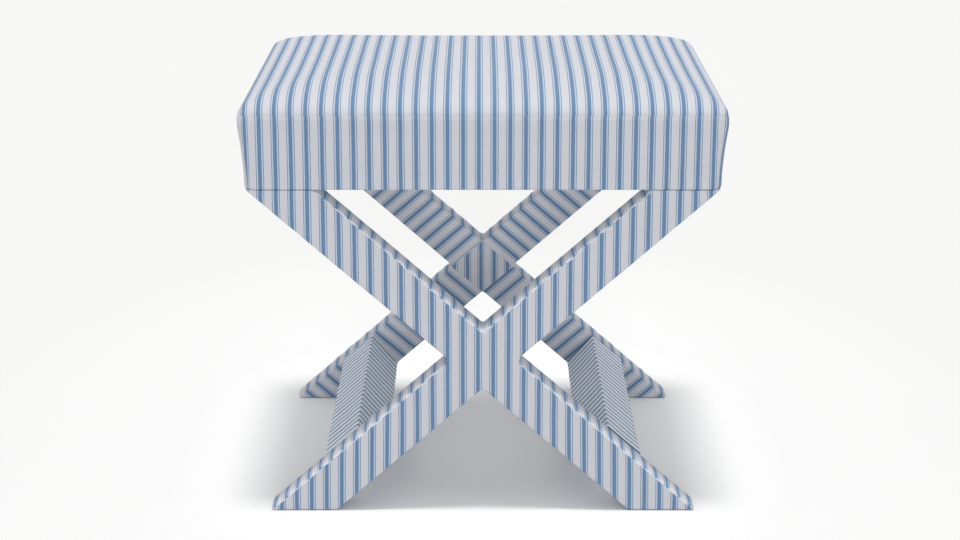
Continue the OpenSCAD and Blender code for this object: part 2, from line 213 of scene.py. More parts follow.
def sew(name, patches, material, fill=False):
    """One mesh from grids of points. Points that fall together become one, while each face keeps its own
    place on the cloth."""
    points = np.concatenate([p["at"].reshape(-1, 3) for p in patches])
    cloth = np.concatenate([p["cloth"].reshape(-1, 2) for p in patches])
    quads, start = [], 0
    for p in patches:
        rows, columns = p["at"].shape[:2]
        i = start + np.arange(rows * columns).reshape(rows, columns)
        quads.append(np.stack([i[:-1, :-1], i[:-1, 1:], i[1:, 1:], i[1:, :-1]], -1).reshape(-1, 4))
        start += rows * columns
    quads = np.concatenate(quads)
    steps = np.round(points / WELD).astype(np.int64)
    _, first, same = np.unique(steps, axis=0, return_index=True, return_inverse=True)
    same = same.reshape(-1)
    mesh = bpy.data.meshes.new(name)
    mesh.from_pydata((points[first] * MM).tolist(), [], same[quads].tolist())
    mesh.uv_layers.new(name="cloth").data.foreach_set("uv", cloth[quads].ravel())
    for mark in MARKS:
        values = np.concatenate([p[mark].reshape(-1) for p in patches])[first].astype(np.float32)
        mesh.attributes.new(mark, "FLOAT", "POINT").data.foreach_set("value", values)
    work = bmesh.new()
    work.from_mesh(mesh)
    if fill:
        bmesh.ops.holes_fill(work, edges=[e for e in work.edges if e.is_boundary], sides=0)
    bmesh.ops.recalc_face_normals(work, faces=work.faces)
    if work.calc_volume(signed=True) < 0:
        bmesh.ops.reverse_faces(work, faces=work.faces)
    work.to_mesh(mesh)
    work.free()
    mesh.polygons.foreach_set("use_smooth", np.ones(len(mesh.polygons), bool))
    mesh.materials.append(material)
    made = bpy.data.objects.new(name, mesh)
    bpy.context.scene.collection.objects.link(made)
    return made


def read_points(made):
    """A piece's points, in millimetres, and their outward directions."""
    co, out = np.empty((2, len(made.data.vertices) * 3))
    made.data.vertices.foreach_get("co", co)
    made.data.vertex_normals.foreach_get("vector", out)
    return co.reshape(-1, 3) / MM, out.reshape(-1, 3)


def write_points(made, points):
    """Puts points in millimetres back into a piece."""
    made.data.vertices.foreach_set("co", (points * MM).ravel())
    made.data.update()


def read_mark(made, mark):
    """One mark of each point of a piece."""
    values = np.empty(len(made.data.vertices), np.float32)
    made.data.attributes[mark].data.foreach_get("value", values)
    return values


# The cushion

def by_side(side, *values):
    """Each point's value for its side of a square: front, right, back or left."""
    return np.select([side == number for number in range(4)], values)


def ring(half_x, half_y, radius, height, side, along):
    """Points of a rectangle with rounded corners. A point lies on one of four sides, at a place from -1 to 1
    that is spread evenly over the side's straight and its two half arcs."""
    half = np.where(side % 2 == 0, half_x, half_y)
    arc = radius * math.pi / 4
    s = along * (half - radius + arc)
    over = np.maximum(np.abs(s) - (half - radius), 0.0) / np.maximum(radius, 1e-9)
    a = np.sign(s) * (np.clip(np.abs(s), None, half - radius) + radius * np.sin(over))
    out = np.where(side % 2 == 0, half_y, half_x) - radius * (1.0 - np.cos(over))
    x, y = by_side(side, a, out, -a, -out), by_side(side, -out, a, out, -a)
    return np.stack([x, y, np.broadcast_to(height, x.shape)], -1)


def round_square(count_x, count_y):
    """The points round the edge of a grid, as side and place from -1 to 1, from the front left corner on."""
    counts = (count_x, count_y, count_x, count_y)
    side = np.concatenate([np.full(n, s) for s, n in enumerate(counts)])
    along = np.concatenate([np.linspace(-1, 1, n + 1)[:-1] for n in counts])
    return np.append(side, 3), np.append(along, 1.0)


def crown_height(share, sizes):
    """Height of a ring of the top by its share of the full size: level in the middle, steep at the rim."""
    return SEAT_Z + sizes.side_height + sizes.crown * np.maximum(0.0, 1.0 - share ** CROWN_FLAT) ** CROWN_FALL


def side_swell(height, sizes):
    """Share of the swell at a height up the side: a quick start above the lower edge, then an ever steeper
    rise, and a small turn inwards below the rim."""
    t = np.clip((height - SEAT_Z) / sizes.side_height, 0.0, 1.0)
    rise = 0.1 * np.minimum(1.0, t / 0.06) + 0.9 * t ** 1.4
    turn_in = np.clip((t - 0.9) / 0.1, 0.0, 1.0) ** 2
    return 1.07 * rise - 0.11 * turn_in


def rim_reach(sizes):
    """Half width and half depth of the cushion at its rim."""
    swell = side_swell(SEAT_Z + sizes.side_height, sizes)
    return HALF_W + sizes.swell_x * swell, HALF_D + sizes.swell_y * swell


def slope_length(share, rise, reach):
    """How far down the slope each ring of the top lies, where the outermost lies that far across."""
    return np.concatenate([[0.0], np.cumsum(np.hypot(np.diff(share * reach), np.diff(rise)))])


def top_slope(sizes):
    """Fine rings of the top, as shares of the full size, with their heights and their places down the slope,
    and the share and place of the seam."""
    share = np.linspace(0.0, 1.0, 4001) ** 0.5
    rise = crown_height(share, sizes)
    length = slope_length(share, rise, SLOPE_REACH)
    seam_share = np.interp(-sizes.seam_height, -rise, share)
    return share, rise, length, seam_share, np.interp(seam_share, share, length)


def top_radius(share, top_y, sizes):
    """Corner radius of a ring of the top: the cushion's own at the rim, rounder towards the middle."""
    return sizes.corner * share + 0.5 * (1.0 - share) * top_y * share


def top_panel(sizes, repeat):
    """A grid bent over rounded rectangles that grow to the seam, spaced evenly down the slope, with two close
    ones at the seam. The cloth follows the surface to each side from the middle, a little spread."""
    top_x, top_y = rim_reach(sizes)
    share, rise, length, _, seam_length = top_slope(sizes)
    count_x, count_y = CUSHION_COUNT
    half = count_y // 2
    steps = np.linspace(0.0, seam_length - 4.5, half - 1)
    steps = np.append(steps, (seam_length - SEAM_SIDE, seam_length))
    u, v = np.meshgrid(np.linspace(-1, 1, count_x + 1), np.linspace(-1, 1, count_y + 1))
    k = np.maximum(np.abs(u), np.abs(v))
    ahead = np.abs(v) >= np.abs(u)
    side = np.where(ahead, np.where(v < 0, 0, 2), np.where(u > 0, 1, 3))
    along = by_side(side, u, v, -u, -v) / np.where(k > 0, k, 1.0)
    size = np.interp(k, np.arange(half + 1) / half, np.interp(steps, length, share))
    radius = np.maximum(top_radius(size, top_y, sizes), 1e-6)
    at = ring(top_x * size, top_y * size, radius, crown_height(size, sizes), side, along)
    x, y = at[..., 0], at[..., 1]

    def down(across, reach):
        place = np.clip(np.abs(across) / reach, 0, 1)
        return np.interp(place, share, slope_length(share, rise, reach))

    spread = 1.0067 + 0.0023 * (y / top_y + 1.0) / 2.0
    down_x = down(x, top_x) / spread - 1.6 * smooth((np.abs(x) / top_x - 0.88) / 0.12)
    cloth = np.stack([np.sign(x) * down_x + SEAT_STRIPE, np.sign(y) * down(y, top_y)], -1) / repeat
    seam = np.select([k >= 1.0 - 1e-9, k >= 1.0 - 1.1 / half], [1.0, 0.35], 0.0)
    loose = 1.0 - (1.0 - FIRM) * smooth((size - 0.85) / 0.12)
    return patch(at, cloth, seam, loose=loose)


def side_band(sizes, repeat):
    """Rings from the seam down the sides, under the seat, and back up inside over the deck."""
    top_x, top_y = rim_reach(sizes)
    share, _, length, seam_share, seam_length = top_slope(sizes)
    side, along = round_square(*CUSHION_COUNT)
    next_length = seam_length + SEAM_SIDE
    near, low = np.interp([next_length, 0.5 * (next_length + length[-1])], length, share)
    rings = []
    for size, seam in ((seam_share, 1.0), (near, 0.35), (low, 0.0)):
        height, radius = crown_height(size, sizes), top_radius(size, top_y, sizes)
        rings.append((ring(top_x * size, top_y * size, radius, height, side, along), seam, FIRM))
    rim_z = SEAT_Z + sizes.side_height
    for height in np.append(np.linspace(rim_z, SEAT_Z + 3.0, 15), (SEAT_Z + 1.4, SEAT_Z + 0.4)):
        swell = side_swell(height, sizes)
        edge = 0.35 if height < SEAT_Z + 1 else 0.0
        half_x, half_y = HALF_W + sizes.swell_x * swell - edge, HALF_D + sizes.swell_y * swell - edge
        free = FIRM + (1.0 - FIRM) * smooth((rim_z - 4.0 - height) / 24.0)
        loose = smooth((height - SEAT_Z - 2.0) / 16.0) * free
        rings.append((ring(half_x, half_y, sizes.corner - edge, height, side, along), 0.0, loose))
    # Insets from the sides, and heights above the seat's lower edge
    end = sizes.turn_under
    under = ((1.2, 0.0), (3.5, 0.0), (12.0, 0.0), (24.0, 0.0), (end - 1.5, 0.0), (end - 0.3, 0.15))
    over = ((end, 0.55), (end - 0.3, 1.0), (end - 1.5, 1.1), (20.0, 1.1), (4.4, 1.1))
    inside = ((3.2, 3.5), (3.2, 40.0), (3.0, 60.0), (4.2, INSIDE_Z), (10.0, INSIDE_Z))
    for inset, height in under + over + inside:
        radius = max(sizes.corner - inset, 1.5) if inset < 12 else 4.0
        at = ring(HALF_W - inset, HALF_D - inset, radius, SEAT_Z + height, side, along)
        rings.append((at, 0.0, 0.0))
    at, seam, loose = (np.array(column) for column in zip(*rings))
    step = np.linalg.norm(np.diff(at, axis=0), axis=-1).mean(1)
    down = np.concatenate([[0.0], np.cumsum(step)])
    u = band_place(at, side, sizes, top_x, top_y)
    cloth = np.stack([u / 1.0027 + SEAT_STRIPE, np.broadcast_to(-down[:, None], u.shape)], -1) / repeat
    return patch(at, cloth, seam[:, None], loose=loose[:, None])


def band_place(at, side, sizes, top_x, top_y):
    """Place along the band for each point of its rings: the distance round from the middle of the front, the
    same for a stripe from top to bottom, and counted from the middle again across the back."""
    corner = sizes.corner
    x, y = at[..., 0], at[..., 1]
    over_x = np.clip(np.abs(x) - (top_x - corner - sizes.swell_x), 0, None)
    over_y = np.clip(np.abs(y) - (top_y - corner), 0, None)
    front = x + np.sign(x) * over_x ** 2 / CORNER_BEND
    middle_of_end = top_x + top_y + 2 * corner * (math.pi / 4 - 1)
    right = middle_of_end + y + np.sign(y) * over_y ** 2 / CORNER_BEND
    return by_side(side, front, right, front, -right)


def swell_up(made, softness):
    """Starts the cover a little smaller, blows it up as cloth that is held where it turns under, and keeps
    each point within the softness of where it started."""
    rest, out = read_points(made)
    loose = read_mark(made, "loose")
    start = rest - out * (0.5 * softness * loose)[:, None]
    write_points(made, start)
    held = made.vertex_groups.new(name="held")
    for weight in np.unique(np.round(loose, 2)):
        held.add(np.flatnonzero(np.abs(loose - weight) < 0.006).tolist(), float(1.0 - weight), "REPLACE")
    cloth = made.modifiers.new("Cloth", "CLOTH")
    settings = cloth.settings
    settings.quality = 4
    settings.mass = 0.3
    settings.tension_stiffness = settings.compression_stiffness = 40.0
    settings.shear_stiffness = 20.0
    settings.bending_stiffness = 8.0
    settings.vertex_group_mass = "held"
    settings.use_pressure = True
    settings.uniform_pressure_force = PRESSURE
    settings.effector_weights.gravity = 0.0
    cloth.collision_settings.use_collision = False
    cloth.point_cache.frame_start, cloth.point_cache.frame_end = 1, LAST_FRAME
    scene = bpy.context.scene
    for number in range(1, LAST_FRAME + 1):
        scene.frame_set(number)
    blown = np.empty(len(loose) * 3)
    made.evaluated_get(bpy.context.evaluated_depsgraph_get()).data.vertices.foreach_get("co", blown)
    made.modifiers.remove(cloth)
    made.vertex_groups.clear()
    scene.frame_set(1)
    moved = blown.reshape(-1, 3) / MM - start
    far = np.linalg.norm(moved, axis=1)
    write_points(made, start + moved * np.minimum(1.0, softness / np.maximum(far, 1e-9))[:, None])


# The X frames

# Each arm by its direction: right or left, then up or down
ARMS = ((1, 1), (-1, 1), (-1, -1), (1, -1))

# Points along an arm's edge, in its fork, straight and end arc, and across its end, in each arc and between
ALONG, ACROSS = (6, 66, 4), (4, 11)
WIDTH = 2 * ACROSS[0] + ACROSS[1] - 2

# The outer face of each X frame, its direction inwards, and the stripes that cross the edges of each arm: the
# place of one and their distance
FRAMES = {
    "front": (-HALF_D, 1.0, ((315.1, 16.3), (311.1, 16.28), (20.4, 16.45), (21.9, 16.45))),
    "rear": (HALF_D, -1.0, ((315.8, 16.5), (319.1, 16.5), (12.8, 16.55), (22.5, 16.58))),
}
# The stripes that cross the inner face of each arm, and those on the middle of the inner face
INNER_FACE = dict(zip(ARMS, ((315.4, 16.4), (318.1, 16.42), (128.0, 16.55), (120.8, 16.5))))
INNER_MIDDLE = (2.03, 16.3)


def arc(middle, radius, start, end, count):
    """Points of an arc about a middle. Its angles are counted from straight below it."""
    a = np.linspace(start, end, count)
    return middle + radius * np.stack([np.sin(a), -np.cos(a)], -1)


def joined(first, last, count):
    """Two arcs and the even points of the straight between them."""
    share = np.linspace(0.0, 1.0, count)[1:-1, None]
    return np.concatenate([first, first[-1] * (1 - share) + last[0] * share, last])


def blunt_corner(inset, reach, start, end, count):
    """Part of the arc at the blunt corner of an arm's end."""
    q = reach - BLUNT_R
    middle = np.array([(q - VEE_Z) * LEAN + BLUNT_R / math.sin(SLOPE), q])
    return arc(middle, inset - BLUNT_R, start, end, count)


def pointed_corner(inset, reach, start, end, count):
    """Part of the arc at the pointed corner of an arm's end."""
    r = max(TIP_R - inset, 0.05)
    q = reach - inset - r
    middle = np.array([LEG_CUT / 2 + q * LEAN - (inset + r) / math.sin(SLOPE), q])
    return arc(middle, r, start, end, count)


def arm_edge(inset, reach, pointed):
    """One long edge of an arm, in distances out from the upright middle line and from the crossing point: an
    arc at the fork, a straight run, and half of the arc at the arm's end. The edge lies that far inside the
    outline, which widens the arcs at the fork and tightens those at the end."""
    fork, run, end = ALONG
    if pointed:
        middle = np.array([LEG_CUT / 2 + NOTCH_R / math.sin(SLOPE), 0.0])
        first = arc(middle, -(NOTCH_R + inset), math.pi / 2, SLOPE, fork)
        last = pointed_corner(inset, reach, SLOPE, (SLOPE + math.pi) / 2, end)
    else:
        middle = np.array([0.0, VEE_Z + VEE_R / math.cos(SLOPE)])
        first = arc(middle, VEE_R + inset, 0.0, SLOPE, fork)
        last = blunt_corner(inset, reach, SLOPE, SLOPE / 2, end)
    return joined(first, last, run)


def arm_end(inset, reach):
    """The cut end of an arm between its two edges: half of the blunt arc, the level cut, and half of the arc
    at the point."""
    count, run = ACROSS
    first = blunt_corner(inset, reach, SLOPE / 2, 0.0, count)
    last = pointed_corner(inset, reach, math.pi, (SLOPE + math.pi) / 2, count)
    return joined(first, last, run)


def between(start, end, low, high):
    """A grid whose four sides are these lines: two blends of facing sides, less the blend of the corners."""
    a = np.linspace(0, 1, len(low))[:, None, None]
    b = np.linspace(0, 1, len(start))[None, :, None]
    corners = (1 - a) * ((1 - b) * low[0] + b * high[0]) + a * ((1 - b) * low[-1] + b * high[-1])
    return (1 - b) * low[:, None] + b * high[:, None] + (1 - a) * start[None] + a * end[None] - corners


def edge_section(sizes):
    """The padded edge, as inset from the outline and depth below the outer face: a quarter of an oval at
    each face, and a flat between them."""
    turn = np.linspace(0.0, math.pi / 2, 7)
    inset = sizes.edge_round * (1 - np.sin(turn))
    depth = sizes.edge_depth * (1 - np.cos(turn))
    flat = np.linspace(sizes.edge_depth, FRAME_T - sizes.edge_depth, 7)[1:-1]
    inset = np.concatenate([inset, np.zeros(len(flat)), inset[::-1]])
    return inset, np.concatenate([depth, flat, FRAME_T - depth[::-1]])


def place_on_leg(x, z, rising):
    """Distance along a leg from its toe, and across from its upper edge. A rising leg starts at the left."""
    along = np.where(rising, x + TOE_X, TOE_X - x)
    up = z - FOOT_Z
    return along * math.cos(SLOPE) + up * math.sin(SLOPE), along * math.sin(SLOPE) - up * math.cos(SLOPE)


def upright_stripes(x, z, repeat):
    """Cloth laid upright over a whole face. It spreads a little towards the feet."""
    low = np.clip((100.0 - z) / 85.0, 0.0, 1.0)
    shift = FACE_STRIPE - low * 1.55 * np.clip(x / 100.0, -1, 1)
    return np.stack([(x + shift) / repeat, z / repeat], -1)


def crossing_stripes(x, z, rising, start, repeat):
    """Cloth laid across a leg, in the direction of the other leg."""
    t, a = place_on_leg(x, z, rising)
    return np.stack([(t - start - CROSS_LEAN * a) / repeat, a / repeat], -1)


def face_cloth(x, z, outer, arm, repeat):
    """Cloth of a face of an arm, or of the middle if there is no arm: upright stripes on the outer face, and
    stripes across each arm on the inner one."""
    if outer:
        return upright_stripes(x, z, repeat)
    if arm is None:
        shift, pitch = INNER_MIDDLE
        return np.stack([(x + shift) / pitch, z / repeat], -1)
    start, pitch = INNER_FACE[arm]
    return crossing_stripes(x, z, arm[0] * arm[1] > 0, start, pitch)


def place_arm(grid, arm, reach, sizes):
    """Across and up for points of an arm, with the rounding pressed closer to the level end by a slide along
    the leg. At a foot the cloth hangs down round the glide."""
    r = sizes.edge_round
    hang = 0.0 if arm[1] > 0 else sizes.foot_hang
    slide = np.interp(reach - grid[..., 1], [0.0, r, 16.0], [hang, hang + r - sizes.end_round, 0.0])
    return arm[0] * (grid[..., 0] + slide * LEAN), CROSS_Z + arm[1] * (grid[..., 1] + slide)


def make_frame_cover(which, sizes, repeat, material):
    """Each arm's face is a grid between its two edges, the middle is a lozenge between the four forks, and
    the edge strips carry a rounded section along the outline from one face to the other."""
    outer_y, inward, stripes = FRAMES[which]
    r = sizes.edge_round
    inset, depth = edge_section(sizes)
    patches = []

    def add_faces(x, z, arm, far):
        for outer in (True, False):
            y = np.full_like(x, outer_y + inward * (0.0 if outer else FRAME_T))
            cloth = face_cloth(x, z, outer, arm, repeat)
            patches.append(patch(np.stack([x, y, z], -1), cloth, edge=far if outer else FAR))

    for arm, (start, pitch) in zip(ARMS, stripes):
        reach = (SEAT_Z - CROSS_Z) if arm[1] > 0 else (CROSS_Z - FOOT_Z)
        rising = arm[0] * arm[1] > 0
        low, high = arm_edge(r, reach, False), arm_edge(r, reach, True)
        share = np.linspace(0, 1, WIDTH)[:, None]
        grid = between(low[0] * (1 - share) + high[0] * share, arm_end(r, reach), low, high)
        far = r + (LEG_W - 2 * r) * (share if arm[1] > 0 else 1 - share).T
        add_faces(*place_arm(grid, arm, reach, sizes), arm, far)
        lines = [(arm_edge(d, reach, False), arm_edge(d, reach, True), arm_end(d, reach)) for d in inset]
        for which_edge, edge in enumerate(zip(*lines)):
            x, z = place_arm(np.stack(edge), arm, reach, sizes)
            y = np.broadcast_to((outer_y + inward * depth)[:, None], x.shape)
            at = np.stack([x, y, z], -1)
            t, _ = place_on_leg(x, z, rising)
            strip = np.stack([(t - start) / pitch, y / repeat], -1)
            if which_edge == 2:
                strip = face_cloth(x, z, True, arm, repeat)
            # The seam that shows is on the upper edge. There the strip's cloth starts nearer to the face.
            seam_up = which_edge == (0 if arm[1] > 0 else 1)
            far = (inset - 0.4 * depth if seam_up else np.full_like(inset, FAR))[:, None]
            first, last = (1, len(inset) - 4) if seam_up else (6, len(inset) - 7)
            for part, cloth in (
                (slice(0, first + 1), face_cloth(x, z, True, arm, repeat)),
                (slice(first, last + 1), strip),
                (slice(last, None), face_cloth(x, z, False, arm, repeat)),
            ):
                patches.append(patch(at[part], cloth[part], edge=far[part]))
    # The lozenge in the middle. The forks lie the same for every reach.
    vee, notch = arm_edge(r, 150.0, False)[0], arm_edge(r, 150.0, True)[0]
    a = np.linspace(0, 1, WIDTH)[:, None, None]
    b = np.linspace(0, 1, WIDTH)[None, :, None]
    up, side = np.array([0.0, vee[1]]), np.array([notch[0], 0.0])
    grid = (1 - a) * (1 - b) * up + a * (1 - b) * -side + (1 - a) * b * side + a * b * -up
    add_faces(grid[..., 0], CROSS_Z + grid[..., 1], None, FAR)
    made = sew(which + "_frame_upholstery", patches, material)
    pucker_up(made, sizes)
    return made


def pucker_up(made, sizes):
    """Waves in the cloth: short ones along the edge seams and long faint ones elsewhere. The level cuts at
    the seat and the feet stay nearly flat."""
    points, out = read_points(made)
    near = np.exp(-((read_mark(made, "edge") - 0.7) / 1.4) ** 2)
    move = near * sizes.pucker * (ripple(points, 8.0, 11) - 0.4) + (1 - near) * 0.12 * ripple(points, 40.0, 5)
    level_cut = (points[:, 2] < FOOT_Z) | (points[:, 2] > SEAT_Z - 0.2)
    move = np.where(level_cut, np.minimum(move, 0.0) * 0.3, np.minimum(move, 0.6))
    write_points(made, points + out * move[:, None])


# The stretchers

# The first band on each stretcher, by its side, and the distance of the bands
SLEEVE_START = {-1: 1.4, 1: -7.8}
SLEEVE_PITCH = 14.76
# Distance of a stretcher from the toe, along the leg
STRETCHER_FROM_TOE = 122.0


def square_section(half, radius):
    """Points round a square with rounded corners, closed."""
    flat = np.linspace(-(half - radius), half - radius, 9)[:-1]
    bend = np.linspace(0, math.pi / 2, 6)[:-1]
    corner = np.array([half - radius, half - radius]) + radius * np.stack([np.cos(bend), np.sin(bend)], -1)
    quarter = np.concatenate([np.stack([np.full_like(flat, half), flat], -1), corner])
    lines = []
    for turn in range(4):
        a = math.pi / 2 * turn
        spin = np.array([[math.cos(a), -math.sin(a)], [math.sin(a), math.cos(a)]])
        lines.append(quarter @ spin.T)
    section = np.concatenate(lines)
    return np.concatenate([section, section[:1]])


def make_sleeve(side, sizes, material):
    """A square tube with rounded edges, its section turned to lie in line with the leg, carried from one
    X frame to the other."""
    along = np.array([math.cos(SLOPE), math.sin(SLOPE)])
    down = np.array([math.sin(SLOPE), -math.cos(SLOPE)])
    middle = np.array([-TOE_X, FOOT_Z]) + STRETCHER_FROM_TOE * along + LEG_W / 2 * (down - along)
    section = square_section(LEG_W / 2, sizes.sleeve_round)
    way_round = np.concatenate([[0.0], np.cumsum(np.linalg.norm(np.diff(section, axis=0), axis=1))])
    y = np.linspace(-INNER_Y, INNER_Y, 81)[:, None]
    flat = middle + section[:, :1] * along + section[:, 1:] * down
    shape = (len(y), len(section))
    at = np.stack([np.broadcast_to(line, shape) for line in (-side * flat[:, 0], y, flat[:, 1])], -1)
    cloth = (y - SLEEVE_START[side]) / SLEEVE_PITCH, way_round / SLEEVE_PITCH
    cloth = np.stack([np.broadcast_to(line, shape) for line in cloth], -1)
    name = ("left" if side < 0 else "right") + "_stretcher_sleeve"
    made = sew(name, [patch(at, cloth)], material, fill=True)
    points, out = read_points(made)
    held = smooth((INNER_Y - np.abs(points[:, 1])) / 12.0)
    write_points(made, points + out * (held * 0.25 * (ripple(points, 30.0, 21 + side) - 0.6))[:, None])
    return made


# The dust cover

def make_dust_cover(repeat, material):
    """A level sheet under the seat that sags a little between its staples and is thickened afterwards."""
    low, high = (np.array(corner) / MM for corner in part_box("dust_cover"))
    x, y = np.meshgrid(np.linspace(low[0], high[0], 81), np.linspace(low[1], high[1], 61))
    middle, reach = (low + high) / 2, (high - low) / 2
    points = np.stack([x, y, np.full_like(x, low[2])], -1)
    sag = (1 - ((x - middle[0]) / reach[0]) ** 2) * (1 - ((y - middle[1]) / reach[1]) ** 2)
    z = low[2] + 0.05 - 1.6 * sag ** 0.8 - 0.25 * (1 + ripple(points, 60.0, 3)) * sag ** 0.5
    at = np.stack([x, y, z], -1)
    made = sew("dust_cloth", [patch(at, np.stack([x, y], -1) / repeat)], material)
    wall = made.modifiers.new("Thickness", "SOLIDIFY")
    wall.thickness = 0.5 * MM
    wall.offset = 1.0
    return made


# Materials

class Wiring:
    """The node tree of a material or of the world, with short calls that add a node and join it."""

    def __init__(self, owner):
        self.owner = owner
        owner.use_nodes = True
        self.tree = owner.node_tree
        self.tree.nodes.clear()

    def node(self, kind, inputs=None, **settings):
        made = self.tree.nodes.new(kind)
        for key, value in settings.items():
            setattr(made, key, value)
        for key, value in (inputs or {}).items():
            if isinstance(value, bpy.types.NodeSocket):
                self.tree.links.new(value, made.inputs[key])
            else:
                made.inputs[key].default_value = value
        return made

    def place(self):
        return self.node("ShaderNodeTexCoord").outputs["Object"]

    def attribute(self, name):
        return self.node("ShaderNodeAttribute", attribute_name=name).outputs[2]

    def math(self, operation, *values):
        return self.node("ShaderNodeMath", dict(enumerate(values)), operation=operation).outputs[0]

    def times(self, first, *others):
        for other in others:
            first = self.math("MULTIPLY", first, other)
        return first

    def stretch(self, vector, *by):
        return self.node("ShaderNodeVectorMath", {0: vector, 1: by}, operation="MULTIPLY").outputs[0]

    def rise(self, value, low, high, kind="SMOOTHSTEP"):
        """Goes from 0 to 1 as a value goes from low to high."""
        inputs = {0: value, 1: low, 2: high}
        return self.node("ShaderNodeMapRange", inputs, interpolation_type=kind).outputs[0]

    def mix(self, factor, a, b, blend="MIX"):
        a, b = ((*c, 1.0) if isinstance(c, tuple) else c for c in (a, b))
        inputs = {0: factor, 6: a, 7: b}
        return self.node("ShaderNodeMix", inputs, data_type="RGBA", blend_type=blend).outputs[2]

    def ramp(self, factor, stops):
        made = self.node("ShaderNodeValToRGB", {0: factor})
        elements = made.color_ramp.elements
        while len(elements) < len(stops):
            elements.new(0.5)
        for element, (position, colour) in zip(elements, stops):
            element.position = position
            element.color = (*colour, 1.0)
        return made.outputs[0]

    def noise(self, vector, scale, detail=2.0, roughness=0.5):
        inputs = {"Vector": vector, "Scale": scale, "Detail": detail, "Roughness": roughness}
        return self.node("ShaderNodeTexNoise", inputs).outputs[0]

    def bump(self, height, strength, distance):
        inputs = {"Strength": strength, "Distance": distance, "Height": height}
        return self.node("ShaderNodeBump", inputs).outputs[0]

    def finish(self, **inputs):
        """Ends a material with its shader, and gives it back."""
        inputs = {key.replace("_", " "): value for key, value in inputs.items()}
        shader = self.node("ShaderNodeBsdfPrincipled", inputs)
        self.tree.links.new(shader.outputs[0], self.node("ShaderNodeOutputMaterial").inputs[0])
        return self.owner


def new_material(name):
    return Wiring(bpy.data.materials.new(name))


def weave(w, u, v):
    """Height of a coarse weave, whose two threads lie on top by turns, and where the level one does."""
    across, up = w.times(u, THREADS), w.times(v, THREADS)
    turn = w.math("FLOORED_MODULO", w.math("ADD", w.math("FLOOR", across), w.math("FLOOR", up)), 2.0)
    under = w.math("LESS_THAN", turn, 0.5)
    warp = w.math("SINE", w.times(w.math("FRACT", across), math.pi))
    weft = w.math("SINE", w.times(w.math("FRACT", up), math.pi))
    height = w.math("ADD", w.times(under, w.times(weft, 0.7)), w.times(w.math("SUBTRACT", 1.0, under), warp))
    return height, under


def ticking(name, stops, speckle):
    """Striped twill. The stripe's colour follows the distance from the middle of its repeat, and weft threads
    show through it. The strips of cloth at the edges carry painted light: they are made paler, and their
    seams get a broken painted highlight."""
    w = new_material(name)
    uv = w.node("ShaderNodeUVMap", uv_map="cloth").outputs[0]
    split = w.node("ShaderNodeSeparateXYZ", {0: uv})
    waver = w.noise(w.stretch(uv, 0.35, 0.9, 1.0), 1.6, 3.0)
    u = w.math("ADD", split.outputs[0], w.times(w.math("SUBTRACT", waver, 0.5), 0.03))
    distance = w.times(w.math("PINGPONG", u, 0.5), 2.0)
    height, under = weave(w, u, split.outputs[1])
    colour = w.mix(w.times(under, speckle), w.ramp(distance, stops), WEFT)
    slub = w.noise(w.stretch(uv, 14.0, 1.2, 1.0), 1.0, 3.0)
    colour = w.mix(w.times(w.math("SUBTRACT", slub, 0.3), 0.12), colour, (0.42, 0.44, 0.5))
    # Stitches of the cushion's seam
    stitch = w.math("GREATER_THAN", w.math("FRACT", w.times(u, 6.0)), 0.45)
    mark = w.times(w.math("GREATER_THAN", w.attribute("seam"), 0.8), stitch, 0.3)
    colour = w.mix(mark, colour, (0.3, 0.34, 0.42))
    # Painted light at the edges of the X frames: paler strips, and a broken painted highlight along their
    # seams
    place = w.place()
    edge = w.attribute("edge")
    # Painted light: the strips are made paler, standing in for light from the front under the seat
    strip_light = w.times(w.rise(edge, -13.0, -2.5), w.math("LESS_THAN", edge, 1.3))
    colour = w.mix(strip_light, colour, (1.2, 1.2, 1.2), "MULTIPLY")
    # Painted highlight along the edge seams, wobbled by noise and broken in places
    edge = w.math("ADD", edge, w.times(w.math("SUBTRACT", w.noise(place, 190.0, 2.0), 0.5), 3.6))
    seam_highlight = w.rise(w.math("ABSOLUTE", w.math("SUBTRACT", edge, 1.0)), 1.3, 0.4)
    broken = w.rise(w.noise(place, 120.0, 1.0), 0.42, 0.56, "LINEAR")
    colour = w.mix(w.times(seam_highlight, broken, 0.75), colour, (0.76, 0.77, 0.81))
    fuzz = w.noise(place, 2600.0, 1.0)
    normal = w.bump(w.math("ADD", height, w.times(fuzz, 0.5)), 0.35, 0.00025)
    return w.finish(
        Base_Color=colour, Roughness=0.88, Sheen_Weight=0.12, Sheen_Roughness=0.45, Specular_IOR_Level=0.25,
        Normal=normal)


def main_ticking(look):
    """The cover's cloth: a broad blue stripe between pale ones and fine lines, on a pale ground."""
    blue, pale, line, ground = (tuple(c) for c in (look.blue, look.pale, look.line, look.ground))
    stops = (
        (0.0, blue), (0.225, blue), (0.255, pale), (0.42, pale),
        (0.435, line), (0.505, line), (0.52, ground), (1.0, ground),
    )
    return ticking("blue_ticking", stops, 0.45)


def sleeve_ticking(look):
    """The cloth of the stretchers: slate bands on a light blue ground."""
    slate, ground = tuple(look.slate), tuple(look.sleeve_ground)
    return ticking("slate_ticking", ((0.0, slate), (0.27, slate), (0.33, ground), (1.0, ground)), 0.3)


def dust_cloth():
    """A pale spun cloth with pressed dots."""
    w = new_material("dust_cloth")
    place = w.place()
    dots = w.node("ShaderNodeTexVoronoi", {"Vector": place, "Scale": 420.0, "Randomness": 0.25}).outputs[0]
    fibres = w.noise(place, 900.0, 6.0, 0.7)
    colour = w.ramp(fibres, [(0.3, (0.62, 0.62, 0.6)), (0.7, (0.74, 0.74, 0.72))])
    normal = w.bump(w.math("ADD", w.times(dots, 0.8), fibres), 0.4, 0.0002)
    return w.finish(Base_Color=colour, Roughness=0.92, Sheen_Weight=0.1, Normal=normal)


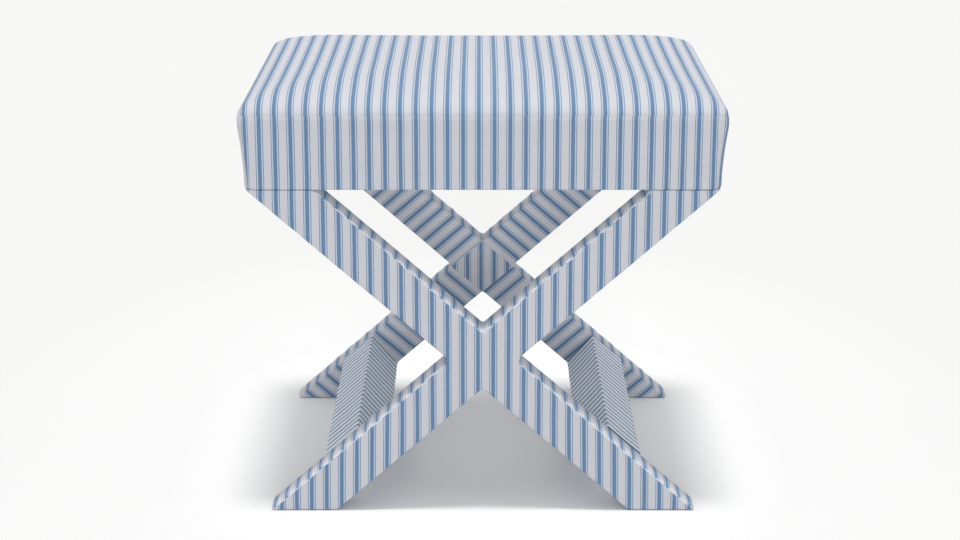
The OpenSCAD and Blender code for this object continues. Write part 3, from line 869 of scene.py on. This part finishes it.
def timber(name, pale, dark, turn, ring_scale, roughness):
    """Sawn timber: growth rings cut lengthwise, stretched along the board, with fine pores."""
    w = new_material(name)
    place = w.node("ShaderNodeMapping", {"Vector": w.place(), "Rotation": turn}).outputs[0]
    bend = w.noise(w.stretch(place, 6.0, 70.0, 70.0), 0.5, 3.0)
    late = w.math("POWER", w.math("FRACT", w.times(bend, ring_scale)), 3.0)
    fibre = w.noise(w.stretch(place, 40.0, 1500.0, 1500.0), 1.0, 4.0)
    colour = w.mix(late, pale, dark)
    colour = w.mix(w.times(fibre, 0.35), colour, tuple(c * 0.7 for c in dark))
    normal = w.bump(w.math("ADD", late, fibre), 0.25, 0.0002)
    return w.finish(Base_Color=colour, Roughness=roughness, Normal=normal)


def plywood():
    """Sheets glued in layers, which show on the edges as light and dark lines, with long grain over all."""
    w = new_material("plywood")
    place = w.place()
    split = w.node("ShaderNodeSeparateXYZ", {0: place})
    glue = w.math("LESS_THAN", w.math("FRACT", w.times(split.outputs[2], 420.0)), 0.12)
    grain = w.noise(w.stretch(place, 9.0, 260.0, 260.0), 1.0, 5.0)
    colour = w.ramp(grain, [(0.3, (0.42, 0.27, 0.13)), (0.7, (0.62, 0.44, 0.25))])
    colour = w.mix(w.times(glue, 0.6), colour, (0.16, 0.09, 0.04))
    return w.finish(Base_Color=colour, Roughness=0.7, Normal=w.bump(grain, 0.2, 0.0002))


def zinc():
    """Zinc plate: bright, with faint brushed lines and cloudy patches."""
    w = new_material("zinc_plate")
    place = w.place()
    cloud = w.noise(place, 260.0, 3.0)
    lines = w.noise(w.stretch(place, 3000.0, 3000.0, 150.0), 1.0, 2.0)
    colour = w.ramp(cloud, [(0.3, (0.46, 0.47, 0.48)), (0.7, (0.66, 0.67, 0.68))])
    roughness = w.math("ADD", 0.26, w.times(cloud, 0.2))
    return w.finish(Base_Color=colour, Metallic=1.0, Roughness=roughness, Normal=w.bump(lines, 0.08, 0.0001))


def nylon():
    """Moulded nylon of the glides, slightly cloudy and scuffed underneath."""
    w = new_material("nylon")
    place = w.place()
    cloud = w.noise(place, 300.0, 3.0)
    scuff = w.noise(w.stretch(place, 900.0, 120.0, 900.0), 1.0, 3.0)
    colour = w.ramp(cloud, [(0.3, (0.66, 0.65, 0.61)), (0.7, (0.74, 0.73, 0.7))])
    roughness = w.math("ADD", 0.3, w.times(scuff, 0.25))
    return w.finish(Base_Color=colour, Roughness=roughness, Normal=w.bump(scuff, 0.12, 0.0001))


def dress(node, material):
    """Gives a solid its material."""
    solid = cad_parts[node]
    solid.data.materials.clear()
    solid.data.materials.append(material)


def cloth_of(key, make, *settings):
    """A material made once and kept by name."""
    return bpy.data.materials.get(key) or make(*settings)


# Operators

class BENCH_OT_cushion(bpy.types.Operator):
    """Make the crowned seat cushion with its striped cover"""
    bl_idname = "bench.cushion"
    bl_label = "Seat cushion"

    def execute(self, context):
        sizes, look = context.scene.bench_cushion, context.scene.bench_cloth
        panels = [top_panel(sizes, look.repeat), side_band(sizes, look.repeat)]
        made = sew("seat_cushion", panels, cloth_of("blue_ticking", main_ticking, look), fill=True)
        swell_up(made, sizes.softness)
        points, out = read_points(made)
        write_points(made, points - out * (SEAM_DEPTH * read_mark(made, "seam"))[:, None])
        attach(made, "root")
        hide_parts("seat_cover", "seat_wadding", "seat_foam")
        return {"FINISHED"}


class BENCH_OT_frames(bpy.types.Operator):
    """Make the padded striped covers of the two X frames"""
    bl_idname = "bench.frames"
    bl_label = "X frame covers"

    def execute(self, context):
        sizes, look = context.scene.bench_frames, context.scene.bench_cloth
        for which in FRAMES:
            made = make_frame_cover(which, sizes, look.repeat, cloth_of("blue_ticking", main_ticking, look))
            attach(made, "root")
            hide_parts(which + "_frame_cover", which + "_frame_padding")
        return {"FINISHED"}


class BENCH_OT_sleeves(bpy.types.Operator):
    """Make the banded sleeves of the two stretchers"""
    bl_idname = "bench.sleeves"
    bl_label = "Stretcher sleeves"

    def execute(self, context):
        sizes, look = context.scene.bench_frames, context.scene.bench_cloth
        for side, name in ((-1, "left"), (1, "right")):
            made = make_sleeve(side, sizes, cloth_of("slate_ticking", sleeve_ticking, look))
            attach(made, "root")
            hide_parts(name + "_stretcher_cover")
        return {"FINISHED"}


class BENCH_OT_dust_cover(bpy.types.Operator):
    """Make the pale cloth stretched under the seat"""
    bl_idname = "bench.dust_cover"
    bl_label = "Dust cover"

    def execute(self, context):
        made = make_dust_cover(context.scene.bench_cloth.repeat, cloth_of("dust_cloth", dust_cloth))
        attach(made, "root")
        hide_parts("dust_cover")
        return {"FINISHED"}


class BENCH_OT_finishes(bpy.types.Operator):
    """Give the timber, the fixings and the glides their finishes"""
    bl_idname = "bench.finishes"
    bl_label = "Timber and fixings"

    def execute(self, context):
        softwood = (0.62, 0.43, 0.22), (0.42, 0.22, 0.08)
        across = (0, 0, math.pi / 2)
        rising = timber("softwood_rising", *softwood, (0, SLOPE, 0), 26.0, 0.62)
        falling = timber("softwood_falling", *softwood, (0, -SLOPE, 0), 26.0, 0.62)
        lengthwise = timber("softwood_lengthwise", *softwood, (0, 0, 0), 22.0, 0.62)
        crosswise = timber("softwood_crosswise", *softwood, across, 22.0, 0.62)
        hardwood = timber("hardwood", (0.5, 0.31, 0.16), (0.34, 0.18, 0.08), across, 16.0, 0.5)
        for place in ("front", "rear"):
            dress(place + "_left_leg", rising)
            dress(place + "_right_leg", falling)
            dress(place + "_rail", lengthwise)
            for side in ("left", "right"):
                dress(f"{place}_{side}_block", lengthwise)
        for side in ("left", "right"):
            dress(side + "_rail", crosswise)
            dress(side + "_stretcher", crosswise)
        dress("stretcher_dowels", hardwood)
        dress("seat_deck", plywood())
        metal = zinc()
        screws = ["rail_screws", "block_screws", "deck_screws", "lap_screws"]
        staples = ["cover_staples", "dust_cover_staples"]
        for node in screws + staples + ["leg_bolts", "leg_bolt_washers", "leg_bolt_nuts"]:
            dress(node, metal)
        dress("floor_glides", nylon())
        return {"FINISHED"}


class BENCH_OT_stage(bpy.types.Operator):
    """Make the floor, the light and the camera"""
    bl_idname = "bench.stage"
    bl_label = "Stage"

    def execute(self, context):
        scene = context.scene
        look = scene.bench_stage
        mesh = bpy.data.meshes.new("floor")
        mesh.from_pydata([(-40, -40, 0), (40, -40, 0), (40, 40, 0), (-40, 40, 0)], [], [(0, 1, 2, 3)])
        mesh.materials.append(self.pale(look))
        floor = bpy.data.objects.new("floor", mesh)
        scene.collection.objects.link(floor)
        self.sky(scene, look)
        self.lamp(scene, "overhead", look.overhead, look.overhead_angle, math.radians(3))
        self.lamp(scene, "fill", look.fill, math.radians(14), math.pi / 2 - look.fill_height)
        lens = bpy.data.cameras.new("camera")
        lens.lens = CAMERA_LENS
        lens.sensor_width = 36.0
        lens.clip_end = 100.0
        camera = bpy.data.objects.new("camera", lens)
        camera.location = CAMERA_PLACE
        camera.rotation_euler = (math.radians(CAMERA_TILT), 0, 0)
        scene.collection.objects.link(camera)
        scene.camera = camera
        scene.view_settings.view_transform = "Standard"
        return {"FINISHED"}

    def lamp(self, scene, name, strength, breadth, tilt):
        """A distant soft lamp, tilted from straight overhead towards the front."""
        lamp = bpy.data.lights.new(name, "SUN")
        lamp.energy = strength
        lamp.angle = breadth
        lamp.color = (1.0, 0.985, 0.96)
        made = bpy.data.objects.new(name, lamp)
        made.location = (0, -3 * math.sin(tilt), 3)
        made.rotation_euler = (tilt, 0, 0)
        scene.collection.objects.link(made)

    def pale(self, look):
        """A matt pale floor with painted light: as seen, it is lightest beside the stretchers, which lightens
        the bench's shadow there, and darker far off. The light that it gives back is darker."""
        w = new_material("floor")
        away = w.node("ShaderNodeVectorMath", {0: w.stretch(w.place(), 1.0, 0.7, 1.0)}, operation="LENGTH")
        # Painted light: the seen colour is raised near the bench, most beside the stretchers
        shade = [(at, tuple(c * k for c in look.floor)) for at, k in FLOOR_SHADE]
        shade = w.ramp(away.outputs["Value"], shade)
        seen = w.node("ShaderNodeLightPath").outputs["Is Camera Ray"]
        colour = w.mix(seen, tuple(look.bounce), shade)
        return w.finish(Base_Color=colour, Roughness=0.9, Specular_IOR_Level=0.0)

    def sky(self, scene, look):
        """Light from all round, stronger low down, and the floor's colour where the world itself is seen."""
        w = Wiring(bpy.data.worlds.new("sky"))
        scene.world = w.owner
        way = w.node("ShaderNodeSeparateXYZ", {0: w.node("ShaderNodeTexCoord").outputs["Generated"]})
        low = w.math("SUBTRACT", 1.0, w.math("ABSOLUTE", way.outputs[2]))
        strength = w.math("ADD", look.sky, w.times(look.horizon, w.math("POWER", low, 3.0)))
        light = w.node("ShaderNodeBackground", {0: (0.985, 0.992, 1.0, 1.0), 1: strength})
        back = w.node("ShaderNodeBackground", {0: (*look.floor, 1.0), 1: 1.0})
        path = w.node("ShaderNodeLightPath").outputs
        seen = w.math("MAXIMUM", path["Is Camera Ray"], path["Is Glossy Ray"])
        seen = w.math("MAXIMUM", seen, path["Is Transmission Ray"])
        join = w.node("ShaderNodeMixShader", {0: seen, 1: light.outputs[0], 2: back.outputs[0]})
        w.node("ShaderNodeOutputWorld", {0: join.outputs[0]})


class BENCH_PT_panel(bpy.types.Panel):
    """Lists the bench's pieces and their sizes"""
    bl_idname = "BENCH_PT_panel"
    bl_label = "X-frame bench"
    bl_space_type = "VIEW_3D"
    bl_region_type = "UI"
    bl_category = "Bench"

    def draw(self, context):
        layout = self.layout
        for operator in OPERATORS:
            layout.operator(operator.bl_idname)
        for name in GROUPS:
            settings = getattr(context.scene, name)
            for key in settings.__class__.__annotations__:
                layout.prop(settings, key)


OPERATORS = (
    BENCH_OT_cushion, BENCH_OT_frames, BENCH_OT_sleeves,
    BENCH_OT_dust_cover, BENCH_OT_finishes, BENCH_OT_stage,
)
GROUPS = {
    "bench_cushion": CushionSizes, "bench_frames": FrameSizes,
    "bench_cloth": ClothLook, "bench_stage": StageLook,
}


def register():
    for group in GROUPS.values():
        bpy.utils.register_class(group)
    for name, group in GROUPS.items():
        setattr(bpy.types.Scene, name, bpy.props.PointerProperty(type=group))
    for operator in OPERATORS:
        bpy.utils.register_class(operator)
    bpy.utils.register_class(BENCH_PT_panel)


def unregister():
    bpy.utils.unregister_class(BENCH_PT_panel)
    for operator in reversed(OPERATORS):
        bpy.utils.unregister_class(operator)
    for name, group in GROUPS.items():
        delattr(bpy.types.Scene, name)
        bpy.utils.unregister_class(group)


def main():
    register()
    bpy.ops.bench.cushion()
    bpy.ops.bench.frames()
    bpy.ops.bench.sleeves()
    bpy.ops.bench.dust_cover()
    bpy.ops.bench.finishes()
    bpy.ops.bench.stage()


if __name__ == "__main__":
    main()
